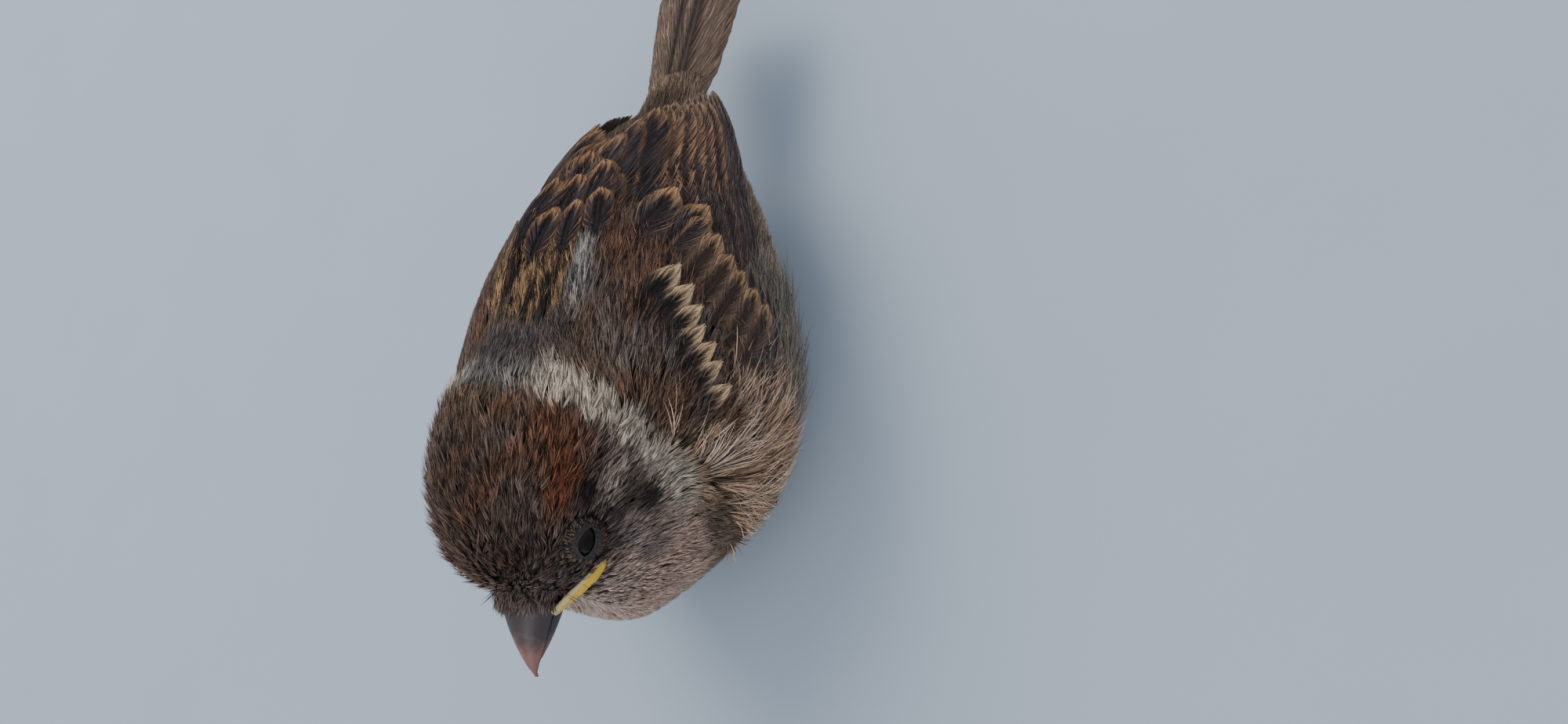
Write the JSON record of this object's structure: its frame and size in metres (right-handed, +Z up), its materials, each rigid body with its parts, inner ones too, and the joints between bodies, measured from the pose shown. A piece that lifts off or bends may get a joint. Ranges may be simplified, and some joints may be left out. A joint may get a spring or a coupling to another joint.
{
  "type": "tree sparrow fledgling",
  "caption": "Life-size still model of a young tree sparrow crouched on its belly, wings folded, head level, short tail held out behind",
  "frame": {"origin": "under the middle of the bird's box, on the floor", "axes": "the bill points along -Y, the tail along +Y, the bird's left is +X and up is +Z"},
  "size_m": [0.0436, 0.1002, 0.0467],
  "materials": {
    "crown": "matt brown plumage",
    "mantle": "matt brown plumage",
    "wing": "close brown feather vanes, slight sheen",
    "tail": "close brown feather vanes, slight sheen",
    "bill": "smooth dark horn",
    "gape": "soft yellow skin",
    "eye": "wet and dark",
    "foot": "dull scaled skin",
    "claw": "smooth horn"
  },
  "bodies": {
    "root": {"head": "crown", "neck": "mantle", "trunk": "mantle", "tail": "tail", "bill_upper": "bill", "bill_lower": "bill", "eye_left": "eye", "gape_left": "gape", "wing_left_arm": "wing", "wing_left_quills": "wing", "leg_left": "foot", "claw_left_inner": "claw", "claw_left_middle": "claw", "claw_left_outer": "claw", "claw_left_hind": "claw", "eye_right": "eye", "gape_right": "gape", "wing_right_arm": "wing", "wing_right_quills": "wing", "leg_right": "foot", "claw_right_inner": "claw", "claw_right_middle": "claw", "claw_right_outer": "claw", "claw_right_hind": "claw"}
  },
  "joints": []
}
